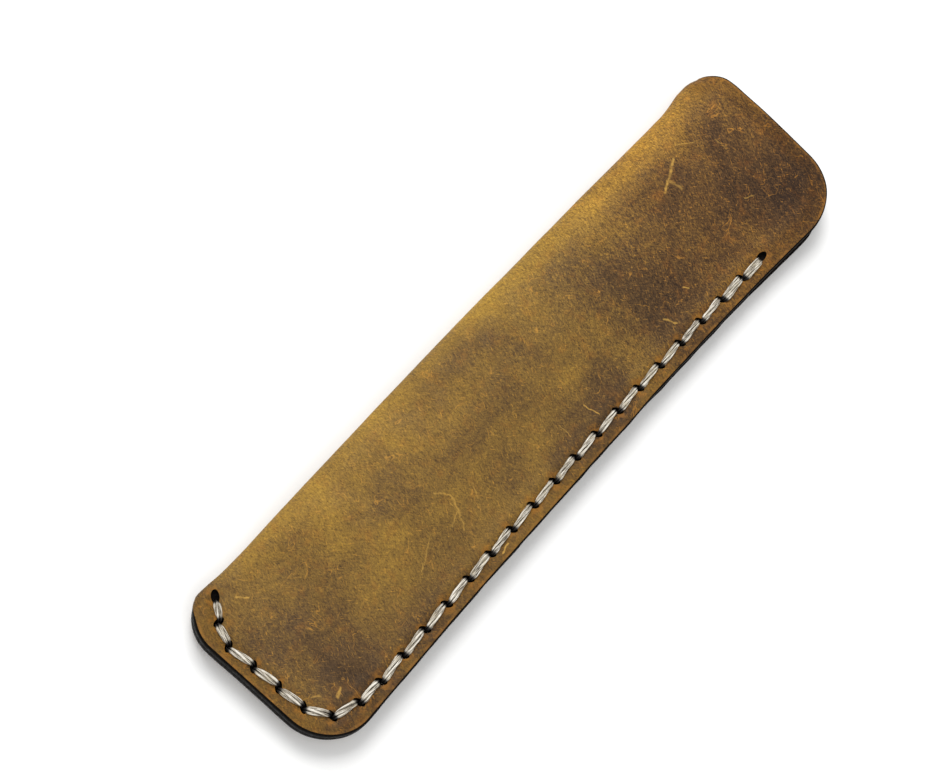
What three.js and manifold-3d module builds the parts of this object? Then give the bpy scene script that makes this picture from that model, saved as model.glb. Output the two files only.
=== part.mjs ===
// Leather sleeve for one pen: a single blank folded along one long side and saddle stitched
// round the closed end and up the other long side. The mouth is open.
// Millimetres. +Y runs from the closed end to the mouth, +X from the fold to the seam, +Z up.
// The origin is the bottom centre of the sleeve's box, and the sleeve lies on its back panel.
import * as THREE from 'three';
import { mergeVertices } from 'three/addons/utils/BufferGeometryUtils.js';
import Module from 'manifold-3d';

const wasm = await Module();
wasm.setup();
const { smoothstep, lerp } = THREE.MathUtils;

// ---- Driving dimensions ----
const LENGTH = 164;
const HALF_WIDTH = 20.2;
const LEATHER = 1.8; // thickness of one layer
const LAYER_GAP = 0.3; // between the two layers where they are pressed together
const MARGIN_LIFT = 2.0; // underside of the stitched margin above the table

const BELLY_HEIGHT = 9.6; // over both layers, where the pocket is fullest
const MOUTH_HEIGHT = 8.6; // over both lips
const PINCH_Y = -77; // the pocket is pinched shut from here to the closed end
const FULL_Y = -42; // and has its full height from here on
const LEVEL_Y = -60; // the back panel lies on the table from here on
const EASE_Y = 18; // the height eases off from here to the mouth
const CROWN_WIDTH = 4; // level strip between the round of the fold and the slope to the seam
const ROW_CLEAR = 1.5; // the layers meet this far inside the row of stitches
const BACK_SLOPE = 7; // width of the strip where the back panel rises to the margin
const TIGHTEST_FOLD = 1.05; // bend radius of the leather's middle where the fold is pinched flat
const FOLD_EASE = 0.2; // how much the bend radius grows with the pocket's half height
const FLAP_START_Y = 58; // past the last stitch the seam side is free
const FLAP_RISE = 1.6; // how far the free front corner has sprung up

const FOLD_INSET = 0.8; // the fold stays this far inside the box near its two ends
const FOLD_BOW = 0.65; // and bows out by this at mid length
const FOLD_FLARE = 0.95; // the flat ends of the fold run out again by this
const FLARE_FROM = 62;
const FLARE_TO = 74;

const SEAM_WAIST = 18.4; // cut edge of the seam side at its narrowest
const SEAM_WAIST_Y = -13;
const SEAM_SPREAD_CLOSED = 0.5; // how much wider it is at the closed end
const SEAM_SPREAD_MOUTH = 1.8; // and at the mouth

const CORNER_FOLD_CLOSED = 7.5;
const CORNER_SEAM_CLOSED = 9.5;
const CORNER_FOLD_MOUTH = 8.3;
const CORNER_SEAM_MOUTH = 12;
const CLOSED_END_SLANT = 0.7; // the closed end is cut slightly out of square

const BEND_STITCHES = 2; // from the first hole near the fold round to the closed end
const END_STITCHES = 3; // along the closed end
const CORNER_STITCHES = 3; // round the corner to the seam side
const SIDE_STITCHES = 18; // up the seam side
const SIDE_DRIFT = 0.03; // by eye, the stitches grow slightly longer towards the mouth
const SIDE_ROW_START = new THREE.Vector2(15.9, -64.2);
const SIDE_ROW_END = new THREE.Vector2(15.7, 58.2);
const SIDE_ROW_BOW = 0.9; // the row bends in towards the fold at mid length
const END_ROW_START = new THREE.Vector2(-17.1, -73.8);
const END_ROW_BEND = new THREE.Vector2(-13.2, -77.8);
const END_ROW_LEFT = new THREE.Vector2(-9.0, -79.0);
const END_ROW_RIGHT = new THREE.Vector2(8.6, -77.8);

const SLIT_HALF_LENGTH = 1.35;
const SLIT_HALF_WIDTH = 0.9;
const THREAD_HALF_WIDTH = 0.8; // a laid stitch is a little flattened
const THREAD_HALF_HEIGHT = 0.55;
const THREAD_NECK = 0.45; // drawn tight inside a slit
const THREAD_GAP = 0.3;
const THREAD_SINK = 0.6; // depth of the thread's centre at a slit
const THREAD_SIDES = 6;
const STITCH_STOPS = [0, 0.2, 0.8]; // the thread is down in the slit at the first, laid flat at the others

// ---- Facets ----
const STATIONS = 18;
const FRONT_STEPS = 8;
const FOLD_STEPS = 8;
const BACK_STEPS = 5;
const SIDE_CUTS = 6; // straight cuts that make up the seam side of the outline
const ARC_STEPS = 6;
const SLIT_ARC_STEPS = 3;
const OVERCUT = 1.5; // the loft runs past the outline that trims it

// ---- Materials ----
function leatherMaterial() {
  return new THREE.MeshStandardMaterial({ color: 0x8a6536, roughness: 0.62, metalness: 0 });
}

function threadMaterial() {
  return new THREE.MeshStandardMaterial({ color: 0xb9b2a3, roughness: 0.55, metalness: 0 });
}

// ---- Plan shape ----
// Outer line of the fold, as an x for each y.
function foldLine(y) {
  const reach = Math.abs(y);
  const bow = FOLD_BOW * Math.max(0, 1 - (reach / FLARE_FROM) ** 2);
  const flare = FOLD_FLARE * smoothstep(reach, FLARE_FROM, FLARE_TO);
  return -(HALF_WIDTH - FOLD_INSET + bow + flare);
}

// Cut edge of the seam side, as an x for each y.
function seamEdge(y) {
  const side = y > SEAM_WAIST_Y ? 1 : -1;
  const spread = side > 0 ? SEAM_SPREAD_MOUTH : SEAM_SPREAD_CLOSED;
  const run = LENGTH / 2 - side * SEAM_WAIST_Y;
  return SEAM_WAIST + spread * ((y - SEAM_WAIST_Y) / run) ** 2;
}

// The outline that both layers are cut to, corners through the fold included.
function planOutline() {
  const top = LENGTH / 2;
  const seamTop = top - CORNER_SEAM_MOUTH;
  const seamBottom = -top + CLOSED_END_SLANT + CORNER_SEAM_CLOSED;
  const outline = new THREE.Shape();
  outline.moveTo(-HALF_WIDTH, -top + CORNER_FOLD_CLOSED);
  outline.lineTo(-HALF_WIDTH, top - CORNER_FOLD_MOUTH);
  outline.absarc(-HALF_WIDTH + CORNER_FOLD_MOUTH, top - CORNER_FOLD_MOUTH, CORNER_FOLD_MOUTH,
    Math.PI, Math.PI / 2, true);
  outline.absarc(HALF_WIDTH - CORNER_SEAM_MOUTH, seamTop, CORNER_SEAM_MOUTH, Math.PI / 2, 0, true);
  for (let i = 1; i <= SIDE_CUTS; i++) {
    const y = lerp(seamTop, seamBottom, i / SIDE_CUTS);
    outline.lineTo(seamEdge(y), y);
  }
  outline.absarc(seamEdge(seamBottom) - CORNER_SEAM_CLOSED, seamBottom, CORNER_SEAM_CLOSED,
    0, -Math.PI / 2, true);
  outline.absarc(-HALF_WIDTH + CORNER_FOLD_CLOSED, -top + CORNER_FOLD_CLOSED, CORNER_FOLD_CLOSED,
    -Math.PI / 2, -Math.PI, true);
  return outline;
}

// ---- Stitch row ----
// The row runs from near the fold, along the closed end, round the corner and up the seam side.
function spaced(curve, count) {
  return curve.getSpacedPoints(count).slice(1);
}

function endHoles() {
  const bend = new THREE.QuadraticBezierCurve(END_ROW_START, END_ROW_BEND, END_ROW_LEFT);
  const end = new THREE.LineCurve(END_ROW_LEFT, END_ROW_RIGHT);
  const turn = new THREE.Vector2(SIDE_ROW_START.x, END_ROW_RIGHT.y);
  const corner = new THREE.QuadraticBezierCurve(END_ROW_RIGHT, turn, SIDE_ROW_START);
  return [
    END_ROW_START,
    ...spaced(bend, BEND_STITCHES),
    ...spaced(end, END_STITCHES),
    ...spaced(corner, CORNER_STITCHES),
  ];
}

function sideHoles() {
  const middle = SIDE_ROW_START.clone().add(SIDE_ROW_END).multiplyScalar(0.5);
  middle.x -= 2 * SIDE_ROW_BOW;
  const row = new THREE.QuadraticBezierCurve(SIDE_ROW_START, middle, SIDE_ROW_END);
  const points = [];
  for (let k = 1; k <= SIDE_STITCHES; k++) {
    const even = k / SIDE_STITCHES;
    points.push(row.getPoint(even - SIDE_DRIFT * even * (1 - even)));
  }
  return points;
}

// The stitch row as an x for each y, used to say where the pocket ends.
function rowLine(y) {
  const start = END_ROW_RIGHT;
  if (y < SIDE_ROW_START.y) {
    const t = Math.max(0, (y - start.y) / (SIDE_ROW_START.y - start.y));
    return lerp(start.x, SIDE_ROW_START.x, Math.sqrt(t * (2 - t)));
  }
  const t = (y - SIDE_ROW_START.y) / (SIDE_ROW_END.y - SIDE_ROW_START.y);
  return lerp(SIDE_ROW_START.x, SIDE_ROW_END.x, t) - 4 * SIDE_ROW_BOW * Math.max(0, t * (1 - t));
}

// ---- Section of the folded blank at one y ----
// Half the distance between the middles of the two layers at the belly.
function bellyHalf(y) {
  const closed = (LEATHER + LAYER_GAP) / 2;
  const full = (BELLY_HEIGHT - LEATHER) / 2;
  const mouth = (MOUTH_HEIGHT - LEATHER) / 2;
  const filled = lerp(closed, full, smoothstep(y, PINCH_Y, FULL_Y));
  return lerp(filled, mouth, smoothstep(y, EASE_Y, LENGTH / 2));
}

function section(y) {
  const half = bellyHalf(y);
  const tipRadius = TIGHTEST_FOLD + FOLD_EASE * (half - TIGHTEST_FOLD);
  const nose = (half * half) / tipRadius;
  const pinched = 1 - smoothstep(y, PINCH_Y, LEVEL_Y);
  const backBelly = LEATHER / 2 + MARGIN_LIFT * pinched;
  const freed = smoothstep(y, FLAP_START_Y, LENGTH / 2);
  const bellyX = foldLine(y) + LEATHER / 2 + nose;
  return {
    half,
    nose,
    bellyX,
    crownX: Math.min(bellyX + CROWN_WIDTH, 0),
    rowX: rowLine(y) - ROW_CLEAR,
    backBelly,
    frontBelly: backBelly + 2 * half,
    backMargin: LEATHER / 2 + MARGIN_LIFT * (1 - freed),
    frontMargin: MARGIN_LIFT + LEATHER * 1.5 + LAYER_GAP + FLAP_RISE * freed,
  };
}

// Height of the middle of the front layer and of the back layer.
function frontMiddle(s, x) {
  return lerp(s.frontBelly, s.frontMargin, smoothstep(x, s.crownX, s.rowX));
}

function backMiddle(s, x) {
  return lerp(s.backBelly, s.backMargin, smoothstep(x, s.rowX - BACK_SLOPE, s.rowX));
}

// A point on the middle line of the leather and the direction out of the sleeve there.
function panelPoint(height, s, x, up) {
  const step = 0.01;
  const slope = (height(s, x + step) - height(s, x - step)) / (2 * step);
  const out = new THREE.Vector2(-slope, 1).normalize().multiplyScalar(up);
  return { at: new THREE.Vector2(x, height(s, x)), out };
}

function foldPoint(s, angle) {
  const at = new THREE.Vector2(
    s.bellyX - s.nose * Math.sin(angle),
    s.backBelly + s.half + s.half * Math.cos(angle),
  );
  const out = new THREE.Vector2(-Math.sin(angle) / s.nose, Math.cos(angle) / s.half).normalize();
  return { at, out };
}

// Middle line from the front cut edge, round the fold, to the back cut edge.
function middleLine(y) {
  const s = section(y);
  const edge = seamEdge(y) + OVERCUT;
  const points = [];
  for (let i = 0; i < FRONT_STEPS; i++) {
    points.push(panelPoint(frontMiddle, s, lerp(edge, s.bellyX, i / FRONT_STEPS), 1));
  }
  for (let i = 0; i <= FOLD_STEPS; i++) {
    points.push(foldPoint(s, (Math.PI * i) / FOLD_STEPS));
  }
  for (let i = 1; i <= BACK_STEPS; i++) {
    points.push(panelPoint(backMiddle, s, lerp(s.bellyX, edge, i / BACK_STEPS), -1));
  }
  return points;
}

// ---- Solids ----
function toSolid(geometry) {
  geometry.deleteAttribute('normal');
  geometry.deleteAttribute('uv');
  const merged = mergeVertices(geometry, 1e-5);
  const mesh = new wasm.Mesh({
    numProp: 3,
    vertProperties: new Float32Array(merged.attributes.position.array),
    triVerts: new Uint32Array(merged.index.array),
  });
  return new wasm.Manifold(mesh);
}

function toGeometry(solid) {
  const mesh = solid.getMesh();
  const geometry = new THREE.BufferGeometry();
  geometry.setAttribute('position', new THREE.BufferAttribute(mesh.vertProperties, 3));
  geometry.setIndex(new THREE.BufferAttribute(mesh.triVerts, 1));
  geometry.computeVertexNormals();
  return geometry;
}

// Skins a row of equal rings of points, with both ends closed by the given triangles.
function skin(rings, capTriangles) {
  const size = rings[0].length;
  const index = [];
  for (let r = 0; r + 1 < rings.length; r++) {
    for (let i = 0; i < size; i++) {
      const a = r * size + i;
      const b = r * size + ((i + 1) % size);
      index.push(a, b, a + size, b, b + size, a + size);
    }
  }
  const last = (rings.length - 1) * size;
  for (const [a, b, c] of capTriangles) {
    index.push(a, c, b, last + a, last + b, last + c);
  }
  const geometry = new THREE.BufferGeometry();
  geometry.setAttribute('position', new THREE.Float32BufferAttribute(
    rings.flat().flatMap((p) => [p.x, p.y, p.z]), 3));
  geometry.setIndex(index);
  return geometry;
}

function fanCap(size) {
  const triangles = [];
  for (let i = 1; i + 1 < size; i++) {
    triangles.push([0, i, i + 1]);
  }
  return triangles;
}

// The blank before trimming: outer face out along the middle line and inner face back.
function foldedStrip() {
  const rings = [];
  for (let i = 0; i <= STATIONS; i++) {
    const reach = LENGTH / 2 + OVERCUT;
    const y = lerp(-reach, reach, i / STATIONS);
    const line = middleLine(y);
    const outer = line.map(({ at, out }) => at.clone().addScaledVector(out, LEATHER / 2));
    const inner = line.map(({ at, out }) => at.clone().addScaledVector(out, -LEATHER / 2));
    rings.push([...inner, ...outer.reverse()].map((p) => new THREE.Vector3(p.x, y, p.y)));
  }
  const size = rings[0].length;
  const cap = [];
  for (let i = 0; i + 1 < size / 2; i++) {
    const j = size - 1 - i;
    cap.push([i, i + 1, j], [i + 1, j - 1, j]);
  }
  return toSolid(skin(rings, cap));
}

function outlineCutter() {
  const geometry = new THREE.ExtrudeGeometry(planOutline(),
    { depth: BELLY_HEIGHT + 2, bevelEnabled: false, curveSegments: ARC_STEPS });
  geometry.translate(0, 0, -1);
  return toSolid(geometry);
}

// An awl slit through both layers, lying along the row.
function slitCutter(hole, direction) {
  const straight = SLIT_HALF_LENGTH - SLIT_HALF_WIDTH;
  const slit = new THREE.Shape();
  slit.absarc(straight, 0, SLIT_HALF_WIDTH, -Math.PI / 2, Math.PI / 2, false);
  slit.absarc(-straight, 0, SLIT_HALF_WIDTH, Math.PI / 2, (3 * Math.PI) / 2, false);
  const geometry = new THREE.ExtrudeGeometry(slit,
    { depth: BELLY_HEIGHT, bevelEnabled: false, curveSegments: SLIT_ARC_STEPS });
  geometry.rotateZ(direction.angle());
  geometry.translate(hole.x, hole.y, -1);
  return toSolid(geometry);
}

function rowDirection(holes, k) {
  const before = holes[Math.max(0, k - 1)];
  const after = holes[Math.min(holes.length - 1, k + 1)];
  return after.clone().sub(before).normalize();
}

function leatherBlank(holes) {
  const trimmed = foldedStrip().intersect(outlineCutter());
  return holes.reduce(
    (blank, hole, k) => blank.subtract(slitCutter(hole, rowDirection(holes, k))), trimmed);
}

// ---- Thread ----
// Height of the outer face of the front (side 1) or of the back (side -1) at a point of the row.
function rowFace(point, side) {
  const s = section(point.y);
  const middle = side > 0 ? s.frontMargin : s.backMargin;
  return middle + (side * LEATHER) / 2;
}

// One run of stitches, which rises out of each slit, lies on the leather and dips into the next.
function stitchRun(holes, side) {
  const rings = [];
  const addRing = (point, direction, rise) => {
    const width = lerp(THREAD_NECK, THREAD_HALF_WIDTH, rise);
    const height = lerp(THREAD_NECK, THREAD_HALF_HEIGHT, rise);
    const above = lerp(-THREAD_SINK, THREAD_GAP + THREAD_HALF_HEIGHT, rise);
    const z = rowFace(point, side) + side * above;
    const ring = [];
    for (let i = 0; i < THREAD_SIDES; i++) {
      const turn = (2 * Math.PI * i) / THREAD_SIDES;
      const across = width * Math.cos(turn);
      ring.push(new THREE.Vector3(
        point.x - direction.y * across,
        point.y + direction.x * across,
        z + height * Math.sin(turn)));
    }
    rings.push(ring);
  };
  for (let k = 0; k + 1 < holes.length; k++) {
    const along = holes[k + 1].clone().sub(holes[k]).normalize();
    for (const stop of STITCH_STOPS) {
      const direction = stop === 0 ? rowDirection(holes, k) : along;
      addRing(holes[k].clone().lerp(holes[k + 1], stop), direction, stop === 0 ? 0 : 1);
    }
  }
  const last = holes.length - 1;
  addRing(holes[last], rowDirection(holes, last), 0);
  return toSolid(skin(rings, fanCap(THREAD_SIDES)));
}

// The thread where it goes through both layers in one slit.
function throughThread(hole) {
  const top = rowFace(hole, 1) - THREAD_SINK;
  const bottom = rowFace(hole, -1) + THREAD_SINK;
  const geometry = new THREE.CylinderGeometry(
    THREAD_NECK, THREAD_NECK, top - bottom, THREAD_SIDES);
  geometry.rotateX(Math.PI / 2);
  geometry.translate(hole.x, hole.y, (top + bottom) / 2);
  return toSolid(geometry);
}

function saddleStitch(holes) {
  const runs = stitchRun(holes, 1).add(stitchRun(holes, -1));
  return holes.reduce((thread, hole) => thread.add(throughThread(hole)), runs);
}

// ---- Assembly ----
function piece(name, solid, material) {
  const mesh = new THREE.Mesh(toGeometry(solid), material);
  mesh.name = name;
  return mesh;
}

const holes = [...endHoles(), ...sideHoles()];
const sleeve = new THREE.Group();
sleeve.add(piece('folded_leather_blank', leatherBlank(holes), leatherMaterial()));
sleeve.add(piece('saddle_stitch_thread', saddleStitch(holes), threadMaterial()));

export default sleeve;
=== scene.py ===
"""Looks for a folded and saddle-stitched leather sleeve for one pen.

The sleeve is one blank of oiled leather, folded along its left side, with one length of waxed
thread sewn round the closed end and up the right side. Shapes are worked out in millimetres, in
the frame of the CAD model (+Y to the mouth, +X to the seam, +Z up), and become metres in new_mesh.
"""
import math
import bpy
import numpy as np
from mathutils import Matrix, Vector
from mathutils.kdtree import KDTree


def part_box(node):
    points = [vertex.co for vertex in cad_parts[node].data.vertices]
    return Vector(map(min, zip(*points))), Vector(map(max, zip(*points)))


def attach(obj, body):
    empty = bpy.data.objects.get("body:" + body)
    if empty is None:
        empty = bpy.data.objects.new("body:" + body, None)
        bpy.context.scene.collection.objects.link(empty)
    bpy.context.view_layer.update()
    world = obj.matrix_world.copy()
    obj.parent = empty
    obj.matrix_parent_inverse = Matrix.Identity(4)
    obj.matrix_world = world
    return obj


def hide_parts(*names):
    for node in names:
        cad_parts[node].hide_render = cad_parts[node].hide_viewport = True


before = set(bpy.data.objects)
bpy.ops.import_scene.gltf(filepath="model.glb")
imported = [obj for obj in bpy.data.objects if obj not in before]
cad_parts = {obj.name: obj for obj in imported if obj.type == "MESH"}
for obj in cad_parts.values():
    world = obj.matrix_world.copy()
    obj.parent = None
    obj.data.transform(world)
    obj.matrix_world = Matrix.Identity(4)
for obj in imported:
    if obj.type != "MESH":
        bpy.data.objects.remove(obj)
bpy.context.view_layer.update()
MM = 0.001

# ---- Driving dimensions, millimetres ----
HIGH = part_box("folded_leather_blank")[1] / MM
HALF_LENGTH = HIGH.y
HALF_WIDTH = HIGH.x
SWELL_ROOM = 0.1  # left above the belly for the panel's swell
MOUTH_SINK = 1.0  # how much lower the pocket is at its mouth
BELLY_HEIGHT = HIGH.z - SWELL_ROOM
MOUTH_HEIGHT = BELLY_HEIGHT - MOUTH_SINK
LEATHER = 1.85  # thickness of one layer
LAYER_GAP = 0.08  # between the two layers where they are pressed together
GLUED_GAP = 0.006  # and where the stitches hold them shut
MARGIN_LIFT = 2.0  # underside of the stitched margin above the table
EDGE_ROUND = 0.42  # how far the burnished edge bulges out
HAIRLINE = 0.02  # parts the two halves where a corner is cut through the solid fold
ROUNDING = 0.001

# The pocket is pinched shut up to PINCH_Y, and its back lies on the table from LEVEL_Y on. It is
# full from FULL_Y to EASE_Y, and eases down from there to the mouth.
PINCH_Y, LEVEL_Y, FULL_Y, EASE_Y = -77.0, -60.0, -42.0, 18.0
ROW_CLEAR = 1.5  # the panels come together this far inside the stitch row
BACK_SLOPE = 7.0  # width over which the back panel rises to the margin
CROWN_WIDTH = 4.0  # the front panel is level this far from the fold
FLAP_START_Y, FLAP_RISE = 58.0, 1.6  # past the last stitch the front springs up
TIGHTEST_FOLD, FOLD_EASE = 1.05, 0.2  # radius of a shut fold, and how it opens with the pocket

FOLD_INSET, FOLD_BOW, FOLD_BOW_REACH = 0.8, 0.65, 62.0  # the fold bows out at mid length
FOLD_FLARE_CLOSED, FOLD_FLARE_MOUTH = 0.35, 1.0  # and flares out again near both ends
FLARE_FROM, FLARE_TO = 67.0, 76.0
SEAM_WAIST, SEAM_WAIST_Y = 18.4, -13.0  # narrowest place of the seam side
SEAM_SPREAD_CLOSED, SEAM_SPREAD_MOUTH = 1.0, 2.3  # and how far it spreads from there
CORNER_FOLD_CLOSED, CORNER_SEAM_CLOSED = 9.0, 11.0  # radii
CORNER_FOLD_MOUTH, CORNER_SEAM_MOUTH = 6.3, 12.0
CLOSED_END_SLANT = 0.7
MOUTH_REACH_FOLD, MOUTH_REACH_SEAM = 1.0, 1.3  # the mouth is cut further out at the seam
MOUTH_BOW = 0.25  # and bows out between
CLOSED_END_SPAN, MOUTH_SPAN = 12.0, 16.0  # how much of the length these draw along
RIM_RUN_OUT = 2.0  # over which a corner's rim fades into the fold

EDGE_WANDER, WANDER_SIZE, WANDER_SEED = 0.12, 9.0, 5  # unevenness of the seam's cut edge
WANDER_OUT = (62, 74)  # where it dies out
PLY_STEPS = [(0.3, 8, 26), (0.22, 48, 60)]  # the back layer steps out this far, over these y
PLY_STEP_OUT = (68, 79)  # where it is trimmed level again

SIDE_ROW_START, SIDE_ROW_END, SIDE_ROW_BOW = (15.9, -64.2), (15.7, 58.2), 0.9
END_ROW_START, END_ROW_BEND = (-17.1, -73.8), (-13.2, -77.8)
END_ROW_LEFT, END_ROW_RIGHT = (-9.0, -79.0), (8.6, -77.8)
BEND_STITCHES, END_STITCHES, CORNER_STITCHES, SIDE_STITCHES = 2, 3, 3, 18
SIDE_DRIFT = 0.03  # the stitches grow slightly longer towards the mouth

# Half length and half width of the holes, which are ovals.
SLIT, SLIT_WAIST = (1.25, 0.66), (1.0, 0.3)  # the waist is between the layers
END_HOLE, END_HOLE_BACK = (1.4, 0.82), (0.5, 0.4)
WAIST_NEAR, WAIST_FAR = 0.2, 0.6  # from its middle to its end, and to the full oval
SLIT_SLANT = math.radians(-60)  # from the row's direction
END_HOLE_PASS = 0.75  # the thread goes through the inner end of the first and last hole
CUTTER_PAST = 1.0  # cutting shells stand out of the leather
CRISP = math.radians(55)  # sharper edges, such as a slit's lip, aren't smoothed

# Relief of the grain side: height or depth, and width or size.
GROOVE, GROOVE_WIDTH = 0.3, 1.25  # pressed in by the stitches
PUCKER, PUCKER_WIDTH = 0.28, 1.15  # drawn in round each hole
ROLL, ROLL_WIDTH, ROLL_FROM_ROW = 0.10, 0.9, 2.3  # pushed up beside the groove
SWELLS = [(0.13, 21), (0.06, 8)]
PEBBLES = [(0.018, 2.1), (0.008, 1.0)]
BACK_SINK = 0.22  # so that the back's high spots just touch the table
FRONT_SEED, BACK_SEED = 10, 40

GLUED_BAND = (2.2, 3.6)  # from the row to where the layers begin to part, and are apart
RIM_UNEVEN, RIM_UNEVEN_SIZE, RIM_SEED = 0.18, 3.0, 77
RIM_SPACING, RIM_SHOULDER = 0.75, 0.65  # powers of a round rim's own cosine and sine
BURNISHED = 0.25  # share of the bulge that is rubbed off at the flesh side

THREAD_HALF_WIDTH, THREAD_HALF_HEIGHT = 0.78, 0.47
THREAD_REST = 0.36  # centre of a stitch above the bottom of its groove
THREAD_SPREAD = 0.42  # how far apart the two yarns pass through one slit, from its middle
BACKSTITCH_SHIFT, BACKSTITCH_CROWD = 0.56, 0.2  # a backstitch and the one under it move apart
BACKSTITCH_RISE = 0.16  # and it rides a little higher
CROWDED_SIZE = 0.74  # both are pulled thinner
SHIFT_IN_HOLE = 0.45  # share of that shift at the bottom of a hole
TAPER, TAPER_HOLES = 0.14, (8, 18)  # the stitches get smaller between these holes
SIZE_SPREAD, SWAY = (0.93, 1.06), 0.08  # differences between stitches
HEIGHT_KEPT, HEIGHT_BY_WIDTH = 0.55, 0.5  # in a hole it narrows more than it flattens
PLIES = 4
PLY_PITCH = 17.0  # length of one turn of the twist
PLY_WIDTH, PLY_HEIGHT = 0.36, 0.46  # of the whole thread's
PLY_GRAIN_SHIFT = 5  # so that no two plies have the same streaks
THREAD_SEED = 3
BEAD_RADIUS, BEAD_HALF_HEIGHT, BEAD_WAVE, BEAD_LOBES = 0.85, 0.5, 0.08, 3
BEAD_SINK = 0.05  # into the leather's face

# ---- Mesh fineness ----
COLUMNS = 72
COLUMN_CROWDING = 0.07
ROW_STEP = 0.66
END_ROW_STEP, ROW_STEP_GROWTH = 0.008, 1.35  # rows start this close at an end
CORNER_SPAN, CORNER_FINENESS = 12, 0.7  # and stay closer over the corners
DENSE = 400  # points that a section is first drawn with
RIM_STEPS = 7
OVAL_SIDES = 24
PLY_SIDES = 8
STEPS_PER_SPAN = 3
BEAD_RINGS, BEAD_SIDES = 7, 14


def lerp(a, b, t):
    return a + (b - a) * t


def turns(count):
    """Angles of that many even steps round a circle."""
    return np.linspace(0, 2 * math.pi, count, endpoint=False)


def smoothstep(x, low, high):
    t = np.clip((np.asarray(x, float) - low) / (high - low), 0, 1)
    return t * t * (3 - 2 * t)


def smooth_noise(x, y, size, seed):
    """Rolling noise from -1 to 1 over a plane, with features about that size."""
    lattice = np.random.default_rng(seed).uniform(-1, 1, (256, 256))
    u, v = np.asarray(x, float) / size + 64, np.asarray(y, float) / size + 64
    i, j = np.floor(u).astype(int), np.floor(v).astype(int)
    s, t = u - i, v - j
    s, t = s * s * (3 - 2 * s), t * t * (3 - 2 * t)
    corner = lambda a, b: lattice[(i + a) % 256, (j + b) % 256]
    low = lerp(corner(0, 0), corner(1, 0), s)
    high = lerp(corner(0, 1), corner(1, 1), s)
    return lerp(low, high, t)


# ---- Plan shape ----
def fold_line(y):
    """Outer line of the fold, as an x for each y."""
    reach = np.abs(y)
    bow = FOLD_BOW * np.maximum(0, 1 - (reach / FOLD_BOW_REACH) ** 2)
    widest = np.where(y > 0, FOLD_FLARE_MOUTH, FOLD_FLARE_CLOSED)
    line = -(HALF_WIDTH - FOLD_INSET + bow + widest * smoothstep(reach, FLARE_FROM, FLARE_TO))
    return line + np.clip(fold_cut(y, 0) - line, 0, LEATHER / 2)


def seam_side(y):
    """Cut edge of the seam side where it is straight."""
    closed = SEAM_SPREAD_CLOSED * ((y - SEAM_WAIST_Y) / (HALF_LENGTH + SEAM_WAIST_Y)) ** 2
    mouth = SEAM_SPREAD_MOUTH * ((y - SEAM_WAIST_Y) / (HALF_LENGTH - SEAM_WAIST_Y)) ** 3
    return SEAM_WAIST + np.where(y > SEAM_WAIST_Y, mouth, closed)


def corner_cuts(y, closed, mouth, inset):
    """How far the round corners at both ends, of these radii, draw an edge in at each y."""
    cut = 0
    for corner, end in ((mouth, 1), (closed, -1)):
        radius = corner - inset
        past = np.clip(end * np.asarray(y) - (HALF_LENGTH - corner), 0, radius)
        cut = cut + (radius - np.sqrt(np.maximum(radius * radius - past * past, 0)))
    return cut


def seam_edge(y, inset):
    """Cut edge of the seam side, corners included, drawn in by inset."""
    return seam_side(y) - inset - corner_cuts(y, CORNER_SEAM_CLOSED, CORNER_SEAM_MOUTH, inset)


def fold_cut(y, inset):
    """Where the corners are cut through the fold: the blank ends at this x or at the fold."""
    return -HALF_WIDTH + inset + corner_cuts(y, CORNER_FOLD_CLOSED, CORNER_FOLD_MOUTH, inset)


def rim_depth(y):
    """How far the rim bulges on the fold side: nothing where a corner's cut runs out at the fold."""
    return EDGE_ROUND * smoothstep(fold_cut(y, 0) - fold_line(y), 0.0, RIM_RUN_OUT)


# ---- Stitch row ----
def bezier(a, b, c, t):
    a, b, c, t = np.array(a), np.array(b), np.array(c), np.asarray(t)[:, None]
    return (1 - t) ** 2 * a + 2 * t * (1 - t) * b + t * t * c


def run_along(curve):
    """Distance along a drawn curve to each of its points."""
    return np.concatenate([[0], np.cumsum(np.linalg.norm(np.diff(curve, axis=0), axis=1))])


def spaced(curve, count):
    """Points at equal spacing along a drawn curve, without its first point."""
    run = run_along(curve)
    at = np.linspace(0, run[-1], count + 1)[1:]
    return np.stack([np.interp(at, run, curve[:, k]) for k in range(2)], 1)


def stitch_holes():
    """Centres of all the holes, from the fold round the closed end and up the side to the mouth."""
    t = np.linspace(0, 1, 60)
    turn = (SIDE_ROW_START[0], END_ROW_RIGHT[1])
    middle = (np.array(SIDE_ROW_START) + SIDE_ROW_END) / 2 - (2 * SIDE_ROW_BOW, 0)
    even = np.arange(1, SIDE_STITCHES + 1) / SIDE_STITCHES
    return np.concatenate([
        [END_ROW_START],
        spaced(bezier(END_ROW_START, END_ROW_BEND, END_ROW_LEFT, t), BEND_STITCHES),
        spaced(lerp(np.array(END_ROW_LEFT), np.array(END_ROW_RIGHT), t[:, None]), END_STITCHES),
        spaced(bezier(END_ROW_RIGHT, turn, SIDE_ROW_START, t), CORNER_STITCHES),
        bezier(SIDE_ROW_START, middle, SIDE_ROW_END, even - SIDE_DRIFT * even * (1 - even)),
    ])


HOLES = stitch_holes()


def row_distance(x, y):
    """Distance from each point to the line through the holes."""
    best = np.full(np.shape(x), 1e9)
    for a, b in zip(HOLES[:-1], HOLES[1:]):
        run = b - a
        t = np.clip(((x - a[0]) * run[0] + (y - a[1]) * run[1]) / (run @ run), 0, 1)
        best = np.minimum(best, np.hypot(x - a[0] - t * run[0], y - a[1] - t * run[1]))
    return best


def hole_distance(x, y):
    return np.min([np.hypot(x - h[0], y - h[1]) for h in HOLES], axis=0)


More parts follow.
